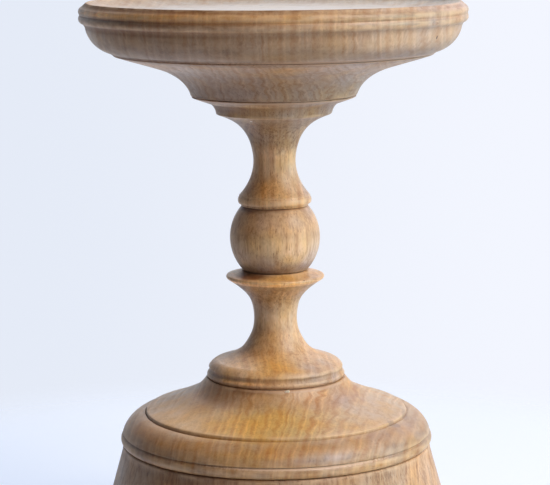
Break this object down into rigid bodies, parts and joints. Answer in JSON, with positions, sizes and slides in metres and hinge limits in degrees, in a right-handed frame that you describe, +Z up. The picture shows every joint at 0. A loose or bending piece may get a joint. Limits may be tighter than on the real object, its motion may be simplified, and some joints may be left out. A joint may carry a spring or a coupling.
{
  "type": "candle stand",
  "caption": "Turned oak candle stand: a shallow beaded dish on a coved stem with a ball between its halves, on a domed and flared base with a felt pad.",
  "frame": {"origin": "on the turning axis, at the surface that the stand rests on", "axes": "+Z up along the turning axis; the stand is round, and -Y faces the picture's camera, with +X to its right"},
  "size_m": [0.1378, 0.1378, 0.2],
  "materials": {
    "oak_disc": "waxed oak with upright grain, satin",
    "oak_spindle": "waxed oak with upright grain, satin",
    "beech": "bare beech dowel",
    "screw_steel": "bright zinc plated",
    "felt": "pressed wool felt, dark green"
  },
  "bodies": {
    "root": {"dish": "oak_disc", "dish_boss": "oak_disc", "base_dome": "oak_disc", "base_body": "oak_disc", "plinth": "oak_disc", "upper_stem": "oak_spindle", "lower_stem": "oak_spindle", "ball": "oak_spindle", "stem_dowel": "beech", "base_screw": "screw_steel", "felt_pad": "felt"}
  },
  "joints": []
}
